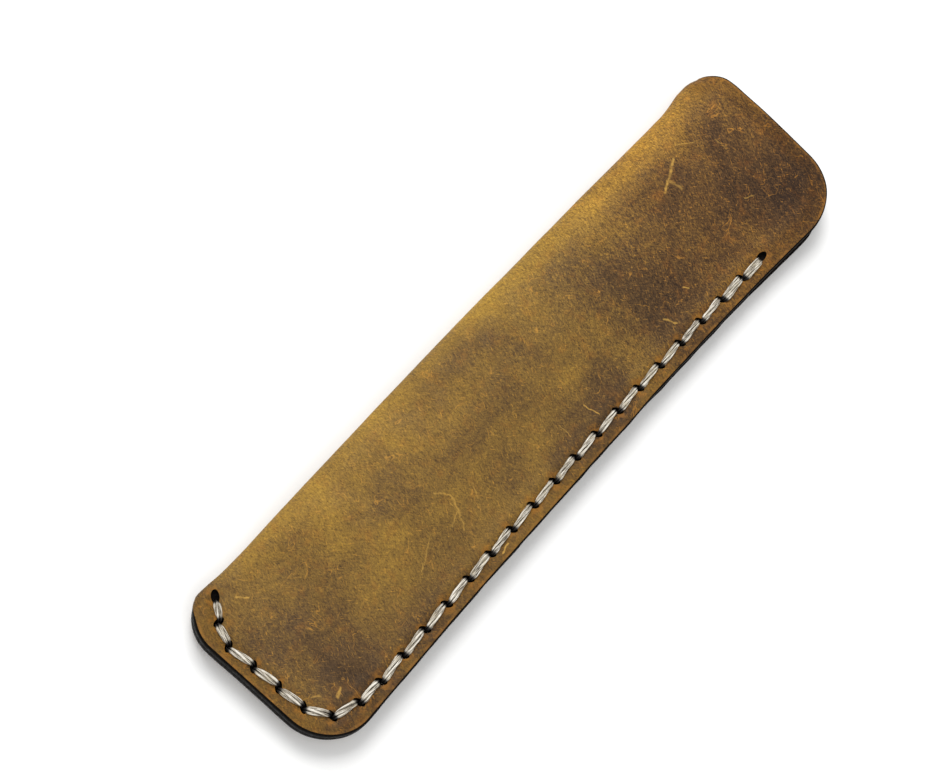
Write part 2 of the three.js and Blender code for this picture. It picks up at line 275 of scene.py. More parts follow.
def row_line(y):
    """The row as an x for each y, which says where the pocket ends."""
    t = np.clip((y - END_ROW_RIGHT[1]) / (SIDE_ROW_START[1] - END_ROW_RIGHT[1]), 0, 1)
    corner = lerp(END_ROW_RIGHT[0], SIDE_ROW_START[0], np.sqrt(t * (2 - t)))
    t = (y - SIDE_ROW_START[1]) / (SIDE_ROW_END[1] - SIDE_ROW_START[1])
    bow = 4 * SIDE_ROW_BOW * np.maximum(0, t * (1 - t))
    side = lerp(SIDE_ROW_START[0], SIDE_ROW_END[0], t) - bow
    return np.where(y < SIDE_ROW_START[1], corner, side)


# ---- Section of the folded blank at one y ----
class Section:
    """Middle of the leather at one y or at many: heights of both panels, and the fold between."""

    def __init__(self, y):
        closed = (LEATHER + LAYER_GAP) / 2
        full = (BELLY_HEIGHT - LEATHER) / 2
        mouth = (MOUTH_HEIGHT - LEATHER) / 2
        half = lerp(closed, full, smoothstep(y, PINCH_Y, FULL_Y))
        self.half = lerp(half, mouth, smoothstep(y, EASE_Y, HALF_LENGTH))
        self.nose = self.half**2 / (TIGHTEST_FOLD + FOLD_EASE * (self.half - TIGHTEST_FOLD))
        pinched = 1 - smoothstep(y, PINCH_Y, LEVEL_Y)
        freed = smoothstep(y, FLAP_START_Y, HALF_LENGTH)
        self.belly_x = fold_line(y) + LEATHER / 2 + self.nose
        self.crown_x = np.minimum(self.belly_x + CROWN_WIDTH, 0)
        self.row_x = row_line(y) - ROW_CLEAR
        self.back_belly = LEATHER / 2 + MARGIN_LIFT * pinched
        self.front_belly = self.back_belly + 2 * self.half
        self.back_margin = LEATHER / 2 + MARGIN_LIFT * (1 - freed)
        self.front_margin = MARGIN_LIFT + LEATHER * 1.5 + LAYER_GAP + FLAP_RISE * freed

    def front(self, x):
        return lerp(self.front_belly, self.front_margin, smoothstep(x, self.crown_x, self.row_x))

    def back(self, x):
        slope = smoothstep(x, self.row_x - BACK_SLOPE, self.row_x)
        return lerp(self.back_belly, self.back_margin, slope)


def ply_step(y):
    """How far the back layer's seam edge stands out past the front layer's."""
    out = sum(step * smoothstep(y, *span) for step, *span in PLY_STEPS)
    return out * (1 - smoothstep(y, *PLY_STEP_OUT))


def half_section(y, side, offset):
    """One face of the leather on the front (side 1) or back (side -1) at one y.

    It lies offset outside the leather's middle, and runs from the seam edge to the fold, or to
    where a corner is cut through the fold. Returns x, z and whether the fold is whole there.
    """
    s = Section(y)
    uneven = smooth_noise(y, 3.0 * side, WANDER_SIZE, WANDER_SEED)
    wander = EDGE_WANDER * uneven * (1 - smoothstep(abs(y), *WANDER_OUT))
    edge = seam_edge(y, EDGE_ROUND) + wander + (ply_step(y) if side < 0 else 0)
    panel_x = np.linspace(edge, s.belly_x, DENSE)
    panel_z = s.front(panel_x) if side > 0 else s.back(panel_x)
    angle = np.linspace(0, math.pi / 2, DENSE // 2)[1:]
    nose_x = s.belly_x - s.nose * np.sin(angle)
    nose_z = s.back_belly + s.half + side * s.half * np.cos(angle)
    x, z = np.concatenate([panel_x, nose_x]), np.concatenate([panel_z, nose_z])
    cut = fold_cut(y, rim_depth(y))
    whole = cut <= x[-1] - LEATHER / 2 + ROUNDING
    along = unit(np.gradient(np.stack([x, z], 1), axis=0))
    x, z = x + side * offset * along[:, 1], z - side * offset * along[:, 0]
    if not whole and x[-1] < cut:
        z = np.append(z[x > cut], np.interp(cut, x[::-1], z[::-1]))
        x = np.append(x[x > cut], cut)
    elif not whole:
        x, z = np.append(x, cut), np.append(z, z[-1] + side * HAIRLINE)
    return x, z, whole


def column_fractions():
    """Columns lie closer together near the seam, which the stitches mark, and at the fold."""
    t = np.linspace(0, 1, COLUMNS + 1)
    return t - COLUMN_CROWDING * np.sin(2 * math.pi * t)


def row_places(inset):
    """Rows lie closer together towards both ends, where the corners curve fastest."""
    end, step, places = HALF_LENGTH - inset, END_ROW_STEP, [0.0]
    while places[-1] < end:
        places.append(places[-1] + step)
        at_corner = places[-1] < CORNER_SPAN
        step = min(step * ROW_STEP_GROWTH, ROW_STEP * (CORNER_FINENESS if at_corner else 1))
    half = np.array(places[:-1]) / places[-1] * end
    return np.concatenate([-end + half, [0], (end - half)[::-1]])


# ---- Leather blank ----
def unit(v):
    return v / np.maximum(np.linalg.norm(v, axis=-1, keepdims=True), 1e-9)


def face_grid(side, offset):
    """Points of one face of one half as a grid of rows and columns, and which rows are whole."""
    rows, fractions = row_places(EDGE_ROUND), column_fractions()
    grid, whole = np.zeros((len(rows), COLUMNS + 1, 3)), []
    for j, y in enumerate(rows):
        x, z, uncut = half_section(y, side, offset)
        run = np.concatenate([[0], np.cumsum(np.hypot(np.diff(x), np.diff(z)))])
        at = fractions * run[-1]
        grid[j] = np.stack([np.interp(at, run, x), np.full(len(at), y), np.interp(at, run, z)], 1)
        whole.append(uncut)
    trim_ends(grid)
    return grid, np.array(whole)


def outward(front, back, whole):
    """Unit normals out of the sleeve on both grids, equal along the shared fold column."""
    normals = []
    for grid, side in ((front, 1), (back, -1)):
        along = np.gradient(grid, axis=0)
        across = np.gradient(grid, axis=1)
        normals.append(unit(np.cross(along, across) * side))
    shared = unit(normals[0][:, -1] + normals[1][:, -1])
    for n in normals:
        n[whole, -1] = shared[whole]
    return normals


def trim_ends(grid):
    """The closed end is cut slightly out of square, and the mouth is cut slightly bowed."""
    t = np.clip((grid[..., 0] + HALF_WIDTH) / (2 * HALF_WIDTH), 0, 1)
    closed = 1 - smoothstep(grid[..., 1], -HALF_LENGTH, -HALF_LENGTH + CLOSED_END_SPAN)
    mouth = smoothstep(grid[..., 1], HALF_LENGTH - MOUTH_SPAN, HALF_LENGTH)
    reach = lerp(MOUTH_REACH_FOLD, MOUTH_REACH_SEAM, t) + MOUTH_BOW * np.sin(math.pi * t)
    grid[..., 1] += CLOSED_END_SLANT * t * closed + reach * mouth


def layered_noise(x, y, layers, seed):
    """Sum of rolling noises, each given as its height and its size."""
    return sum(height * smooth_noise(x, y, size, seed + i) for i, (height, size) in enumerate(layers))


def relief(x, y, side):
    """How far the grain side stands out from a smooth panel, in mm."""
    row, hole = row_distance(x, y), hole_distance(x, y)
    pressed = -GROOVE * np.exp(-((row / GROOVE_WIDTH) ** 2))
    puckered = -PUCKER * np.exp(-((hole / PUCKER_WIDTH) ** 2))
    rolled = ROLL * np.exp(-(((row - ROLL_FROM_ROW) / ROLL_WIDTH) ** 2))
    seed = FRONT_SEED if side > 0 else BACK_SEED
    swell = layered_noise(x, y, SWELLS, seed)
    pebble = layered_noise(x, y, PEBBLES, seed + len(SWELLS))
    resting = 0 if side > 0 else -BACK_SINK
    return pressed + puckered + rolled + swell + pebble + resting


def boundary_loop(rows, whole):
    """The blank's one outline as (half, row, column) steps, seen from the grain side."""
    last, top = rows - 1, np.flatnonzero(whole)[-1]
    low, edge = np.flatnonzero(whole)[0], COLUMNS
    loop = [(0, j, 0) for j in range(last)]
    loop += [(0, last, i) for i in range(edge)]
    loop += [(0, j, edge) for j in range(last, top, -1)]
    loop += [(1, j, edge) for j in range(top, last)]
    loop += [(1, last, i) for i in range(edge, 0, -1)]
    loop += [(1, j, 0) for j in range(last, 0, -1)]
    loop += [(1, 0, i) for i in range(edge)]
    loop += [(1, j, edge) for j in range(low)]
    loop += [(0, j, edge) for j in range(low, 0, -1)]
    loop += [(0, 0, i) for i in range(edge, 0, -1)]
    return loop


def added(name, data):
    holder = bpy.data.objects.new(name, data)
    bpy.context.scene.collection.objects.link(holder)
    return holder


def new_mesh(name, points, faces, materials, face_material=None):
    """A smooth piece from points in mm, with the number of each face's material."""
    mesh = bpy.data.meshes.new(name)
    mesh.from_pydata((np.asarray(points) * MM).tolist(), [], [list(map(int, f)) for f in faces])
    for material in materials:
        mesh.materials.append(material)
    if face_material is not None:
        mesh.polygons.foreach_set("material_index", np.asarray(face_material, np.int32))
    mesh.polygons.foreach_set("use_smooth", np.ones(len(mesh.polygons), bool))
    mesh.validate()
    return added(name, mesh)


def layer_grids(layer):
    """Both halves of the grain side (layer 0) or of the flesh side (layer 1), and the whole rows."""
    offset = LEATHER / 2 if layer == 0 else -LEATHER / 2
    (front, whole), (back, whole) = face_grid(1, offset), face_grid(-1, offset)
    if layer == 0:
        for grid, out, side in zip((front, back), outward(front, back, whole), (1, -1)):
            grid += out * relief(grid[..., 0], grid[..., 1], side)[..., None]
    else:
        for grid, side in ((front, 1), (back, -1)):
            glued = 1 - smoothstep(row_distance(grid[..., 0], grid[..., 1]), *GLUED_BAND)
            grid[..., 2] -= side * glued * (LAYER_GAP - GLUED_GAP) / 2
    return front, back, whole


def rim_reach(loop, x, y):
    """How far the rim bulges out at each place of the blank's outline, not quite evenly."""
    at_fold = np.array([column > COLUMNS / 2 for _, _, column in loop])
    row_y = row_places(EDGE_ROUND)[[row for _, row, _ in loop]]
    reach = np.where(at_fold, rim_depth(row_y), EDGE_ROUND)
    return reach * (1 + RIM_UNEVEN * smooth_noise(x, y, RIM_UNEVEN_SIZE, RIM_SEED))


def rounded_rim(points, outer, inner, reach):
    """Points with the rim's own added, and the rim's rings of point numbers, grain side first."""
    spine = (points[outer] + points[inner]) / 2
    tangent = np.roll(spine, -1, axis=0) - np.roll(spine, 1, axis=0)
    edge = unit(np.cross(tangent, points[outer] - points[inner]))
    rings = [outer]
    for k in range(1, RIM_STEPS):
        turn = math.pi * k / RIM_STEPS
        across = (1 - math.copysign(abs(math.cos(turn)) ** RIM_SPACING, math.cos(turn))) / 2
        burnished = 1 - BURNISHED * (2 * across - 1) ** 2
        bulge = math.sin(turn) ** RIM_SHOULDER if across < 0.5 else burnished
        ring = lerp(points[outer], points[inner], across) + edge * (reach * bulge)[:, None]
        rings.append(np.arange(len(outer)) + len(points))
        points = np.concatenate([points, ring])
    return points, rings + [inner]


def leather_mesh(materials):
    """The whole blank as one closed mesh: grain side, flesh side and a rounded rim between them.

    Returns the piece and the plan of its cut outline.
    """
    points, faces, kinds = [], [], []
    index = []  # point numbers by layer, half, row and column
    for layer in range(2):
        front, back, whole = layer_grids(layer)
        numbers = np.arange(2 * front[..., 0].size).reshape(2, *front.shape[:2]) + len(points)
        numbers[1, whole, -1] = numbers[0, whole, -1]
        index.append(numbers)
        points.extend(np.concatenate([front.reshape(-1, 3), back.reshape(-1, 3)]))
        for half, k in enumerate(numbers):
            quads = np.stack([k[:-1, :-1], k[:-1, 1:], k[1:, 1:], k[1:, :-1]], -1).reshape(-1, 4)
            faces.extend(quads[:, ::-1] if layer == half else quads)
            kinds.extend([layer] * len(quads))
    points = np.array(points)
    loop = boundary_loop(len(whole), whole)
    outer, inner = (np.array([numbers[place] for place in loop]) for numbers in index)
    outline = ((points[outer] + points[inner]) / 2)[:, :2]
    points, rings = rounded_rim(points, outer, inner, rim_reach(loop, *outline.T))
    for a, b in zip(rings[:-1], rings[1:]):
        quads = np.stack([a, b, np.roll(b, -1), np.roll(a, -1)], -1)
        faces.extend(quads)
        kinds.extend([len(index)] * len(quads))
    used, faces = np.unique(np.array(faces), return_inverse=True)
    return new_mesh("leather_sleeve", points[used], faces.reshape(-1, 4), materials, kinds), outline


def row_directions():
    ends = np.concatenate([HOLES[:1], HOLES, HOLES[-1:]])
    return unit(ends[2:] - ends[:-2])


ROW_ALONG = row_directions()
ROW_LEFT = np.stack([-ROW_ALONG[:, 1], ROW_ALONG[:, 0]], 1)
SLIT_ALONG = math.cos(SLIT_SLANT) * ROW_ALONG + math.sin(SLIT_SLANT) * ROW_LEFT
LAST_HOLE = len(HOLES) - 1


def oval(centre, along, length, width):
    """Plan of an oval with that half length along its direction and that half width."""
    turn = turns(OVAL_SIDES)[:, None]
    across = np.array([-along[1], along[0]])
    return centre + length * np.cos(turn) * along + width * np.sin(turn) * across


def capped_tube(rings, sides):
    """Faces of a closed tube whose points are numbered ring by ring."""
    k = np.arange(rings * sides).reshape(rings, sides)
    around = np.roll(k, -1, axis=1)
    walls = np.stack([k[:-1], around[:-1], around[1:], k[1:]], -1).reshape(-1, 4).tolist()
    return walls + [k[0, ::-1].tolist(), k[-1].tolist()]


def slit_cutter(k):
    """One closed shell through both layers: a slanted awl slit, or a longer hole at a row's end.

    A slit narrows between the layers, where it grips the thread. An end hole is wide only in front.
    """
    if k in (0, LAST_HOLE):
        low = waist = oval(through(k, 1, True), ROW_ALONG[k], *END_HOLE_BACK)
        high = oval(HOLES[k], ROW_ALONG[k], *END_HOLE)
    else:
        low = high = oval(HOLES[k], SLIT_ALONG[k], *SLIT)
        waist = oval(HOLES[k], SLIT_ALONG[k], *SLIT_WAIST)
    s = Section(HOLES[k][1])
    middle = (s.front_margin + s.back_margin) / 2
    levels = [(low, -CUTTER_PAST), (low, middle - WAIST_FAR),
              (waist, middle - WAIST_NEAR), (waist, middle + WAIST_NEAR),
              (high, middle + WAIST_FAR), (high, BELLY_HEIGHT + CUTTER_PAST)]
    points = np.concatenate([np.column_stack([ring, np.full(len(ring), z)]) for ring, z in levels])
    return points, capped_tube(len(levels), OVAL_SIDES)


def joined(shells):
    """Points and faces of several separate shells as one list each."""
    points, faces = [], []
    for shell_points, shell_faces in shells:
        start = len(points)
        points.extend(np.asarray(shell_points).tolist())
        faces.extend([[v + start for v in face] for face in shell_faces])
    return points, faces


def cut_slits(sleeve, slit_material):
    """Cuts every hole through the sleeve, and gives the inside of the holes that material."""
    points, faces = joined(slit_cutter(k) for k in range(len(HOLES)))
    cutter = new_mesh("slit_cutter", points, faces, [slit_material])
    boolean = sleeve.modifiers.new("slits", "BOOLEAN")
    boolean.operation = "DIFFERENCE"
    boolean.object = cutter
    boolean.solver = "MANIFOLD"
    boolean.material_mode = "TRANSFER"
    graph = bpy.context.evaluated_depsgraph_get()
    cut = bpy.data.meshes.new_from_object(sleeve.evaluated_get(graph))
    sleeve.modifiers.clear()
    sleeve.data = cut
    cut.set_sharp_from_angle(angle=CRISP)
    bpy.data.objects.remove(cutter)


# ---- Marks on the leather, kept as attributes for its material ----
# Broad patches: x, y, reach across, reach along, and how much paler (+) or darker (-).
FRONT_PATCHES = [
    (4, 63, 9, 12, -0.4), (12, 73, 7, 9, -0.65), (6, 40, 9, 9, -0.35), (-12, 60, 4, 22, 0.35),
    (-6, 8, 8, 10, 0.15), (2, -12, 7, 8, 0.2), (6, 12, 7, 7, -0.3), (10, -68, 8, 7, -0.4),
    (-4, -62, 7, 6, -0.25), (4, -38, 9, 10, 0.1), (15, 52, 3, 7, 0.35), (-12, -42, 6, 20, 0.25),
    (4, 77, 10, 8, -0.5), (-12, 66, 6, 6, -0.6), (-9, 50, 6, 8, -0.65), (-16, 42, 3, 20, 0.6),
    (5, 31, 10, 9, -0.55), (-13, 10, 5, 8, 0.25), (3, 9, 5, 6, 0.45), (-12, -49, 7, 9, 0.5),
    (5, -47, 7, 8, 0.17), (4, -64, 10, 5, -0.3), (-6, -75, 8, 5, -0.4), (14, -71, 6, 9, -0.6),
    (-5, 29, 6, 8, -0.35), (12, 9, 6, 8, -0.35), (-9, -28, 6, 8, 0.25), (12, -50, 5, 8, -0.3),
    (-10, -65, 4, 5, 0.4),
]
BACK_PATCHES = [
    (8, 50, 9, 16, -0.4), (-6, 10, 9, 20, 0.2), (5, -45, 10, 14, -0.3), (-12, -60, 6, 12, 0.3),
]
FOLD_FADE, FOLD_FADE_Y = 8, (66, 77)  # the fold's pale band, pull-up colour and painted highlight, ends before the corners


def patch_tone(x, y, patches):
    tone = np.zeros(len(x))
    for px, py, across, along, strength in patches:
        tone += strength * np.exp(-(((x - px) / across) ** 2) - ((y - py) / along) ** 2)
    return tone


def set_marks(mesh, outline):
    """Distances in mm to the cut edge, the fold, the stitch row and the slits, and the tone."""
    place = np.empty(len(mesh.vertices) * 3)
    mesh.vertices.foreach_get("co", place)
    x, y, z = (place.reshape(-1, 3) / MM).T
    tree = KDTree(len(outline))
    for i, (ox, oy) in enumerate(outline):
        tree.insert((ox, oy, 0), i)
    tree.balance()
    edge = np.array([tree.find((a, b, 0))[2] for a, b in zip(x, y)])
    section = Section(y)
    front = z > (section.front(x) + section.back(x)) / 2
    tone = np.where(front, patch_tone(x, y, FRONT_PATCHES), patch_tone(x, y, BACK_PATCHES))
    marks = {
        "edge_mm": edge,
        "fold_mm": x - fold_line(y) + FOLD_FADE * smoothstep(np.abs(y), *FOLD_FADE_Y),
        "row_mm": row_distance(x, y),
        "hole_mm": hole_distance(x, y),
        "tone": tone,
        "front": front.astype(float),
    }
    for name, values in marks.items():
        mesh.attributes.new(name, "FLOAT", "POINT").data.foreach_set("value", values)


# ---- Thread ----
def groove_height(k, side):
    """Height of the leather's face at the bottom of the stitch groove at a hole."""
    s = Section(HOLES[k][1])
    middle = s.front_margin if side > 0 else s.back_margin
    return middle + side * (LEATHER / 2 - GROOVE)


def through(k, side, leaving):
    """Plan of the place where a yarn goes through a hole, next to its stitch on that side."""
    if k in (0, LAST_HOLE):
        inward = 1 if k == 0 else -1
        return HOLES[k] + END_HOLE_PASS * inward * ROW_ALONG[k]
    return HOLES[k] + SLIT_ALONG[k] * THREAD_SPREAD * side * (1 if leaving else -1)


# Along one stitch from a hole to its crest: run in mm, height, width and how dark, from dye and painted
# shade where the thread dives into the hole.
# Height is 0 in the middle of the leather, 1 at the groove and 2 at the full rest height.
STITCH_RISE = [(0.0, 0.0, 0.54, 1.2), (0.10, 0.6, 0.60, 1.2), (0.36, 1.25, 0.76, 0.95),
               (0.75, 1.8, 0.92, 0.42), (1.3, 2.0, 1.0, 0.12)]
STITCH_CREST = [(0.42, 2.05, 1.0, 0.0), (0.60, 2.05, 1.0, 0.0)]  # run as a part of the stitch


def one_stitch(k, step, side, rng):
    """Control points of the stitch from hole k to hole k + step, on the front or the back."""
    back = step < 0
    crowded = k + min(step, 0) >= LAST_HOLE - 2
    low, high = (k + step, k) if back else (k, k + step)
    a, b = through(low, side, True), through(high, side, False)
    left = unit(ROW_LEFT[low] + ROW_LEFT[high])
    shift = -BACKSTITCH_SHIFT if back else (BACKSTITCH_CROWD if crowded else 0)
    size = (CROWDED_SIZE if crowded else 1.0) * (1 - TAPER * smoothstep(k, *TAPER_HOLES))
    size = size * rng.uniform(*SIZE_SPREAD)
    sway = rng.uniform(-SWAY, SWAY)
    length = np.linalg.norm(b - a)
    rise = [(run / length, height, width, dye_and_shade) for run, height, width, dye_and_shade in STITCH_RISE]
    fall = [(1 - t, height, width, dye_and_shade) for t, height, width, dye_and_shade in rise[:0:-1]]
    points = []
    for t, height, width, dye_and_shade in rise + STITCH_CREST + fall:
        out = min(height, 1)
        aside = (shift * lerp(SHIFT_IN_HOLE, 1, out) + sway * math.sin(math.pi * t)) * out
        plan = lerp(a, b, t) + left * aside
        groove = lerp(groove_height(low, side), groove_height(high, side), t)
        other = lerp(groove_height(low, -side), groove_height(high, -side), t)
        middle = (groove + other) / 2
        z = lerp(middle, groove, out) + side * max(height - 1, 0) * THREAD_REST
        z += side * (BACKSTITCH_RISE if back and height > 1 else 0)
        tall = min(1, HEIGHT_KEPT + HEIGHT_BY_WIDTH * width)
        points.append([*plan, z, *left, THREAD_HALF_WIDTH * width * size, THREAD_HALF_HEIGHT * tall, dye_and_shade])
    return points[::-1] if back else points


def yarn_route(side, rng):
    """One half of the thread: along the row, changing face at each hole, and two stitches back."""
    route = []
    for k, step in [(k, 1) for k in range(LAST_HOLE)] + [(LAST_HOLE, -1), (LAST_HOLE - 1, -1)]:
        route += one_stitch(k, step, side, rng)
        side = -side
    return route


def spline(points, steps):
    """A smooth curve through control points, with the other columns carried along."""
    padded = np.concatenate([2 * points[:1] - points[1:2], points, 2 * points[-1:] - points[-2:-1]])
    p0, p1, p2, p3 = padded[:-3], padded[1:-2], padded[2:-1], padded[3:]
    pieces = []
    for t in np.arange(steps) / steps:
        pieces.append(0.5 * (2 * p1 + (p2 - p0) * t + (2 * p0 - 5 * p1 + 4 * p2 - p3) * t**2
                             + (3 * p1 - p0 - 3 * p2 + p3) * t**3))
    return np.concatenate([np.stack(pieces, 1).reshape(-1, points.shape[1]), points[-1:]])


def ply_tube(curve, turn):
    """One ply of the thread: a closed tube twisted with the others about the thread's middle.

    Returns its points and faces, and for each point its place along the fibres and how dark it is from
    dye and painted shade near the holes.
    """
    centre, left = curve[:, :3], np.column_stack([curve[:, 3:5], np.zeros(len(curve))])
    tangent = unit(np.gradient(centre, axis=0))
    left = unit(left - tangent * np.sum(left * tangent, 1, keepdims=True))
    out = np.cross(tangent, left)
    run = run_along(centre)
    half_width, half_height = curve[:, 5], curve[:, 6]
    phase = turn + 2 * math.pi * run / PLY_PITCH
    ply_width, ply_height = PLY_WIDTH * half_width, PLY_HEIGHT * half_height
    across = (half_width - ply_width) * np.cos(phase)
    lift = (half_height - ply_height) * np.sin(phase)
    angle = turns(PLY_SIDES)[None, :]
    u = across[:, None] + ply_width[:, None] * np.cos(angle)
    v = lift[:, None] + ply_height[:, None] * np.sin(angle)
    points = centre[:, None] + left[:, None] * u[..., None] + out[:, None] * v[..., None]
    faces = capped_tube(len(curve), PLY_SIDES)
    grain = np.stack([np.cos(angle) + 0 * u, np.sin(angle) + 0 * u, run[:, None] + 0 * u], -1)
    dye_and_shade = curve[:, 7:8] + 0 * u
    return points.reshape(-1, 3), faces, grain.reshape(-1, 3) + turn * PLY_GRAIN_SHIFT, dye_and_shade.ravel()


def melted_end(centre):
    """A flattened bead where the thread was cut and melted against the back."""
    tilt = np.linspace(0, math.pi, BEAD_RINGS + 1)[1:-1, None]
    turn = turns(BEAD_SIDES)[None, :]
    radius = BEAD_RADIUS * np.sin(tilt) * (1 + BEAD_WAVE * np.sin(BEAD_LOBES * turn))
    height = BEAD_HALF_HEIGHT * np.cos(tilt) + 0 * turn
    shell = np.stack([radius * np.cos(turn), radius * np.sin(turn), height], -1)
    poles = [[0, 0, BEAD_HALF_HEIGHT], [0, 0, -BEAD_HALF_HEIGHT]]
    points = np.concatenate([shell.reshape(-1, 3), poles]) + centre
    k = np.arange(radius.size).reshape(radius.shape)
    next_k = np.roll(k, -1, axis=1)
    faces = np.stack([k[:-1], k[1:], next_k[1:], next_k[:-1]], -1).reshape(-1, 4).tolist()
    top, bottom = k.size, k.size + 1
    faces += [[top, a, b] for a, b in zip(k[0], next_k[0])]
    faces += [[bottom, b, a] for a, b in zip(k[-1], next_k[-1])]
    return points, faces


def thread_mesh(materials):
    """The whole thread: its plies run on through every hole, with a bead at each end on the back."""
    rng = np.random.default_rng(THREAD_SEED)
    first, second = yarn_route(1, rng), yarn_route(-1, rng)
    control = np.array(first[::-1] + second[1:])
    curve = spline(control, STEPS_PER_SPAN)
    plies = [ply_tube(curve, 2 * math.pi * i / PLIES) for i in range(PLIES)]
    bead_z = groove_height(LAST_HOLE - 2, -1) - BEAD_SINK
    beads = [melted_end(np.array([*end[:2], bead_z])) for end in (curve[0], curve[-1])]
    points, faces = joined([ply[:2] for ply in plies] + beads)
    bead_count = sum(len(bead[1]) for bead in beads)
    kinds = [0] * (len(faces) - bead_count) + [1] * bead_count
    thread = new_mesh("stitched_thread", points, faces, materials, kinds)
    bead_points = np.zeros((sum(len(bead[0]) for bead in beads), 3))
    grain = np.concatenate([ply[2] for ply in plies] + [bead_points])
    # How dark each point is, from dye and painted shade near the holes.
    dye_and_shade = np.concatenate([ply[3] for ply in plies] + [bead_points[:, 0]])
    mesh = thread.data
    mesh.attributes.new("grain", "FLOAT_VECTOR", "POINT").data.foreach_set("vector", grain.ravel())
    mesh.attributes.new("dye_and_shade", "FLOAT", "POINT").data.foreach_set("value", dye_and_shade)
    return thread


# ---- Materials ----
def linear(red, green, blue):
    """A colour given as 0-255 screen values, in the renderer's linear form."""
    parts = [c / 255 for c in (red, green, blue)]
    return (*[c / 12.92 if c <= 0.04045 else ((c + 0.055) / 1.055) ** 2.4 for c in parts], 1)


class Look:
    """A material whose node tree grows by one call at a time."""

    def __init__(self, name, roughness, specular=0.5):
        self.material = bpy.data.materials.new(name)
        self.material.use_nodes = True
        self.tree = self.material.node_tree
        self.shader = self.tree.nodes["Principled BSDF"]
        self.shader.inputs["Roughness"].default_value = roughness
        self.shader.inputs["Specular IOR Level"].default_value = specular

    def set(self, socket, value):
        if isinstance(value, bpy.types.NodeSocket):
            self.tree.links.new(value, socket)
        elif value is not None:
            socket.default_value = value

    def node(self, kind, *values, **settings):
        """A new node, with values or other nodes' outputs for its first inputs."""
        node = self.tree.nodes.new("ShaderNode" + kind)
        for name, value in settings.items():
            setattr(node, name, value)
        for socket, value in zip(node.inputs, values):
            self.set(socket, value)
        return node

    def place(self, stretch=(1, 1, 1), turn=0.0):
        """Object coordinates in mm, turned in the plan and then stretched."""
        coordinates = self.node("TexCoord").outputs["Object"]
        size = tuple(1 / (MM * s) for s in stretch)
        turned = self.node("Mapping", coordinates, (0, 0, 0), (0, 0, turn), (1, 1, 1))
        return self.node("Mapping", turned.outputs[0], (0, 0, 0), (0, 0, 0), size).outputs[0]

    def mark(self, name, output="Fac"):
        return self.node("Attribute", attribute_name=name).outputs[output]

    def noise(self, vector, size, detail=3.0, roughness=0.55, distortion=0.0):
        """Noise from 0 to 1, with features about that size in mm."""
        node = self.node("TexNoise")
        for name, value in (("Vector", vector), ("Scale", 1 / size), ("Detail", detail),
                            ("Roughness", roughness), ("Distortion", distortion)):
            self.set(node.inputs[name], value)
        return node.outputs["Fac"]

    def times(self, a, b):
        return self.math("MULTIPLY", a, b)

    def math(self, operation, *values, clamp=False):
        return self.node("Math", *values, operation=operation, use_clamp=clamp).outputs[0]

    def vector(self, operation, *values, output="Vector"):
        """Vector arithmetic. A fourth value is the factor of SCALE."""
        return self.node("VectorMath", *values, operation=operation).outputs[output]

    def weighted(self, parts):
        """Sum of each value times its weight."""
        total = 0.0
        for value, weight in parts:
            total = self.math("MULTIPLY_ADD", value, weight, total)
        return total

    def between(self, value, low, high, to_low=0.0, to_high=1.0):
        """0 to 1 as value goes from low to high, smoothed at both ends."""
        node = self.node("MapRange", value, low, high, to_low, to_high, interpolation_type="SMOOTHSTEP")
        return node.outputs[0]

    def mix(self, factor, a, b, blend="MIX"):
        node = self.node("Mix", data_type="RGBA", blend_type=blend)
        self.set(node.inputs[0], factor)
        self.set(node.inputs[6], a)
        self.set(node.inputs[7], b)
        return node.outputs[2]

    def ramp(self, value, stops):
        node = self.node("ValToRGB", value)
        bands = node.color_ramp.elements
        while len(bands) < len(stops):
            bands.new(0.5)
        for band, (at, colour) in zip(bands, stops):
            band.position = at
            band.color = colour
        return node.outputs["Color"]

    def finish(self, colour=None, roughness=None, height=None, depth=0.1):
        """The material, with colour, roughness and a bump that many mm deep."""
        self.set(self.shader.inputs["Base Color"], colour)
        self.set(self.shader.inputs["Roughness"], roughness)
        if height is not None:
            bump = self.node("Bump")
            self.set(bump.inputs["Distance"], depth * MM)
            self.set(bump.inputs["Height"], height)
            self.set(self.shader.inputs["Normal"], bump.outputs[0])
        return self.material


# Scratches and nicks: x and y of both ends, half width, and strength, all on the front.
SCRATCHES = [
    (-11.2, 59.1, -7.7, 52.0, 0.28, 0.75), (-8.8, 54.6, -5.9, 55.2, 0.30, 0.4),
    (-13.2, 61.9, -10.2, 66.2, 0.12, 0.6), (-7.7, 69.5, -4.8, 69.7, 0.12, 0.4),
    (4.9, 64.9, 6.0, 66.9, 0.12, 0.5), (9.4, 31.5, 11.8, 33.0, 0.18, 0.7),
    (9.2, 5.3, 12.7, 6.3, 0.14, 0.8), (8.1, 39.9, 8.9, 40.8, 0.16, 0.8),
    (-0.7, -30.9, 1.9, -28.6, 0.16, 0.6), (1.9, -28.6, 5.5, -29.5, 0.18, 0.6),
    (5.5, -29.5, 8.5, -31.2, 0.14, 0.55), (3.1, -29.9, 6.2, -29.6, 0.14, 0.5),
    (5.1, -29.9, 6.3, -32.8, 0.14, 0.5), (3.6, -23.7, 6.2, -24.6, 0.12, 0.45),
    (16.2, -26.9, 16.9, -29.4, 0.18, 0.9), (4.8, -38.0, 7.9, -43.3, 0.12, 0.5),
    (8.5, -1.7, 11.6, -1.5, 0.12, 0.5), (-14.3, -71.2, -12.4, -69.6, 0.2, 0.8),
    (11.1, -70.5, 12.0, -72.3, 0.26, 0.7), (8.4, -75.5, 9.4, -74.2, 0.2, 0.5),
]


SCRATCH_WAVER, WAVER_SCALE = 1.1, 0.6  # how far a stroke strays, and its bends in a mm
SCRATCH_CORE, SCRATCH_FADE = 0.3, 1.6  # of its half width: full strength inside, none outside


